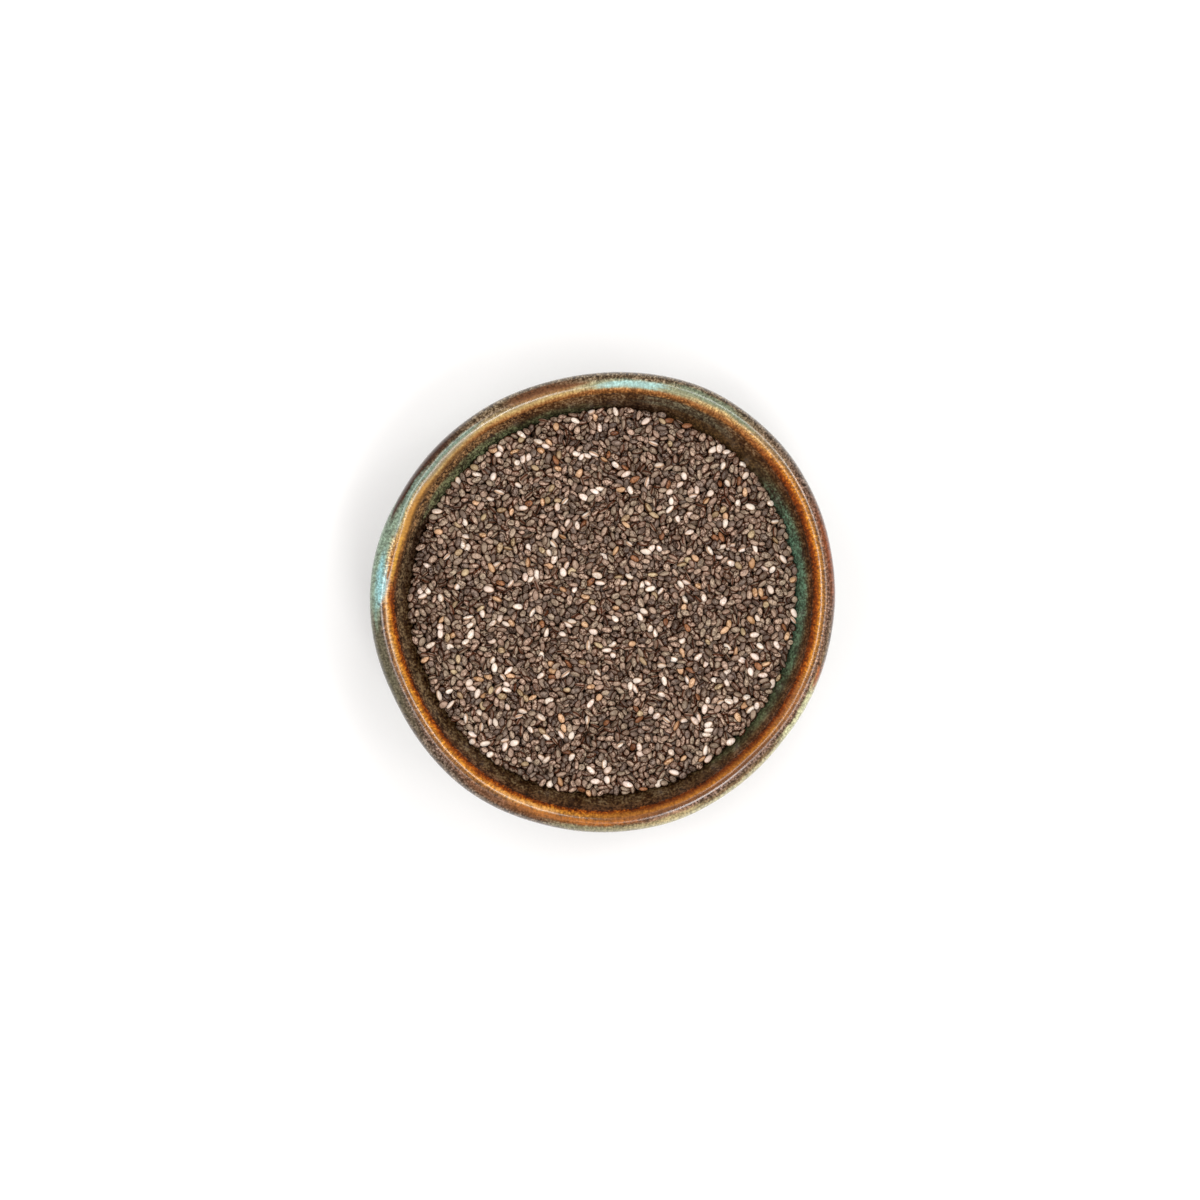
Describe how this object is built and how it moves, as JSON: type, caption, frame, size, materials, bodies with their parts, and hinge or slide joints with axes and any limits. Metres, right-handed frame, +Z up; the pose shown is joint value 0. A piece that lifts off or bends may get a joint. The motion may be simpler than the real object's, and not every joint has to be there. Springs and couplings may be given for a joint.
{
  "type": "bowl of chia seeds",
  "caption": "Small round hand-thrown stoneware bowl with a foot ring and a dripped glaze, filled with chia seeds to a little below its rim.",
  "frame": {"origin": "under the middle of the bowl's outline, on the surface the foot ring stands on", "axes": "+Z up through the open top; +X and +Y lie level, across the bowl"},
  "size_m": [0.101, 0.1002, 0.0444],
  "materials": {
    "bowl_glaze": "gloss",
    "bare_clay": "matte",
    "seed_coat": "satin",
    "pale_seed_coat": "satin"
  },
  "bodies": {
    "root": {"bowl": "bowl_glaze", "chia_seeds": "seed_coat"}
  },
  "joints": []
}
